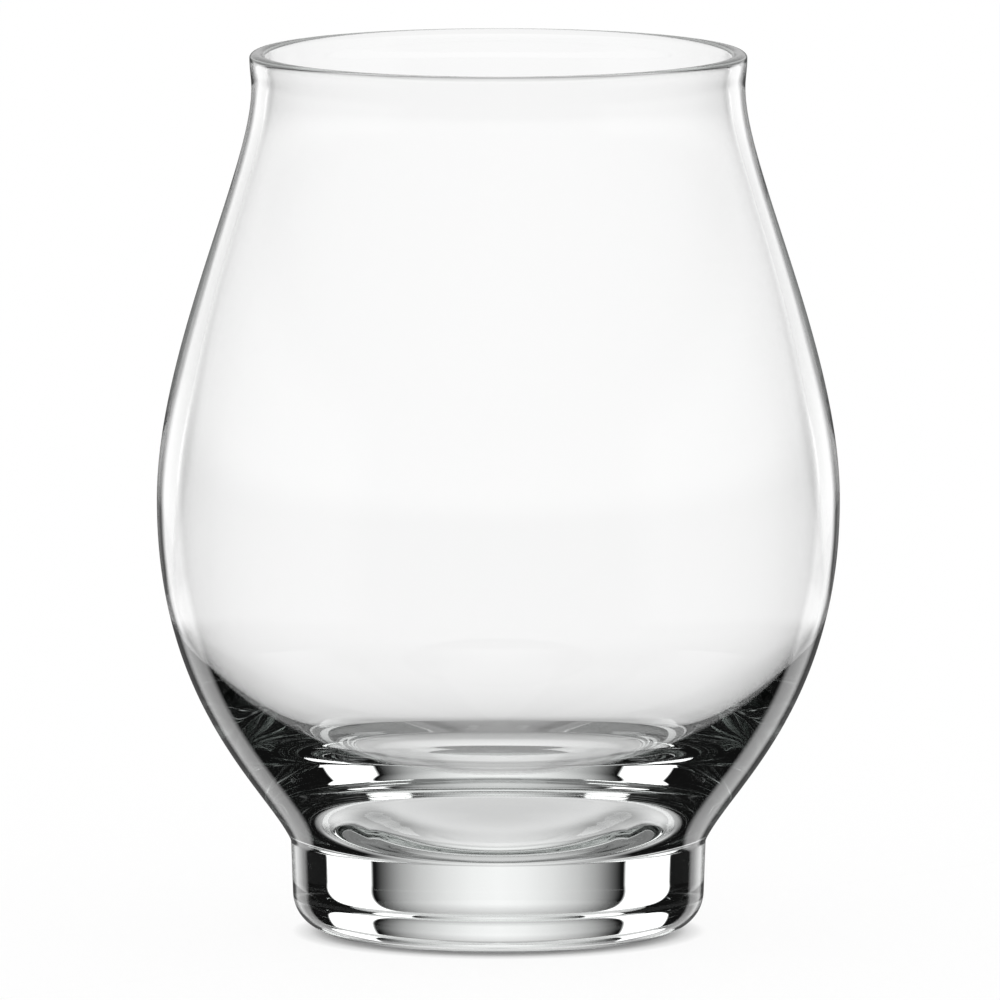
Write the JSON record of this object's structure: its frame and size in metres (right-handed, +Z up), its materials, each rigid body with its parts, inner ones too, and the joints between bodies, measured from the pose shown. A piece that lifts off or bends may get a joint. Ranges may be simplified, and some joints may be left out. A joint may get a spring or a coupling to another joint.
{
  "type": "tumbler",
  "caption": "Clear glass drinking tumbler with a round-bellied bowl, a slightly narrower mouth and a short solid disc foot that stands flat on a table.",
  "frame": {"origin": "centre of the standing ring under the foot, on the table plane", "axes": "+Z up along the turning axis from the foot to the mouth; +X and +Y are any two level directions"},
  "size_m": [0.0888, 0.0888, 0.115],
  "materials": {
    "glass": "clear, colourless, fire-polished gloss"
  },
  "bodies": {
    "root": {"bowl": "glass", "foot": "glass"}
  },
  "joints": []
}
